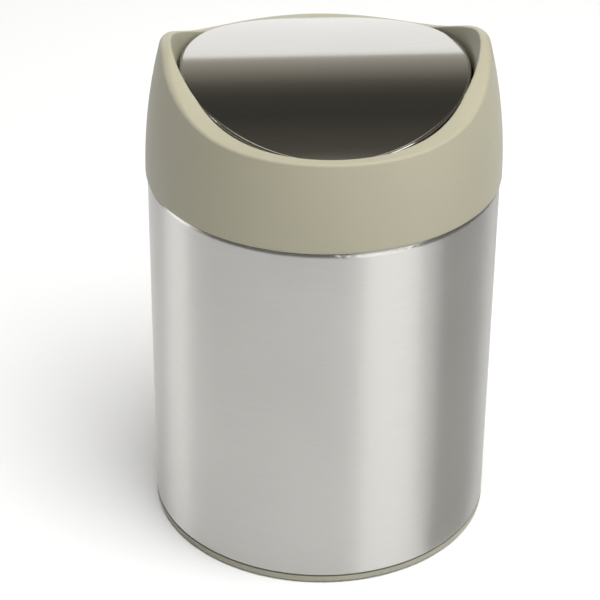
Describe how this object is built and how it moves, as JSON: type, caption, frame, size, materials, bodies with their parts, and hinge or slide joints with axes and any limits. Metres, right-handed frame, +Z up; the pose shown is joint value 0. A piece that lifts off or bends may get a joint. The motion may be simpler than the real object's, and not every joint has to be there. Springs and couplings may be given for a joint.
{
  "type": "countertop swing lid can",
  "caption": "Small round countertop can with a brushed steel body, a saddle-shaped matte plastic top and a bent steel lid that swings both ways.",
  "frame": {"origin": "centre of the rubber ring's underside, on the surface the can stands on", "axes": "+Z up along the can's axis; +X along the lid's pivot axis; the front is -Y"},
  "size_m": [0.1374, 0.1374, 0.2043],
  "materials": {
    "brushed_steel": "horizontal brushed grain, satin",
    "sage_plastic": "fine matte moulded texture, sage grey",
    "base_plastic": "matte moulded texture, grey green",
    "dark_plastic": "matte moulded texture, charcoal",
    "bucket_plastic": "satin moulded, dark grey",
    "rubber": "matte black rubber",
    "acetal": "white acetal, satin",
    "bright_steel": "bright zinc plated, turned",
    "spring_steel": "blued spring steel",
    "zinc_steel": "dull zinc plate, rolled bar"
  },
  "bodies": {
    "can": {"steel_sleeve": "brushed_steel", "top_collar": "dark_plastic", "base_plate": "base_plastic", "base_pad": "rubber", "base_screws": "bright_steel"},
    "bucket": {"inner_bucket": "bucket_plastic"},
    "head": {"bezel": "sage_plastic", "pivot_frame": "dark_plastic", "head_screws": "bright_steel", "pivot_bush_right": "acetal", "pivot_bush_left": "acetal", "stop_bumpers": "rubber"},
    "lid": {"lid_skin": "brushed_steel", "lid_frame": "dark_plastic", "pivot_pin_right": "bright_steel", "pivot_pin_left": "bright_steel", "pin_washer_right": "spring_steel", "pin_washer_left": "spring_steel", "counterweight": "zinc_steel", "weight_screws": "bright_steel", "weight_cover": "dark_plastic"}
  },
  "joints": [
    {"name": "head_lift", "type": "slide", "parent": "can", "child": "head", "axis": [0, 0, 1], "range_m": [0, 0.32]},
    {"name": "bucket_lift", "type": "slide", "parent": "can", "child": "bucket", "axis": [0, 0, 1], "range_m": [0, 0.15]},
    {"name": "lid_swing", "type": "hinge", "parent": "head", "child": "lid", "pos_m": [0, 0, 0.1843], "axis": [1, 0, 0], "range_deg": [-62, 62]}
  ],
  "couplings": [
    {"joint": "bucket_lift", "follows": "head_lift", "ratio": 0.45}
  ]
}
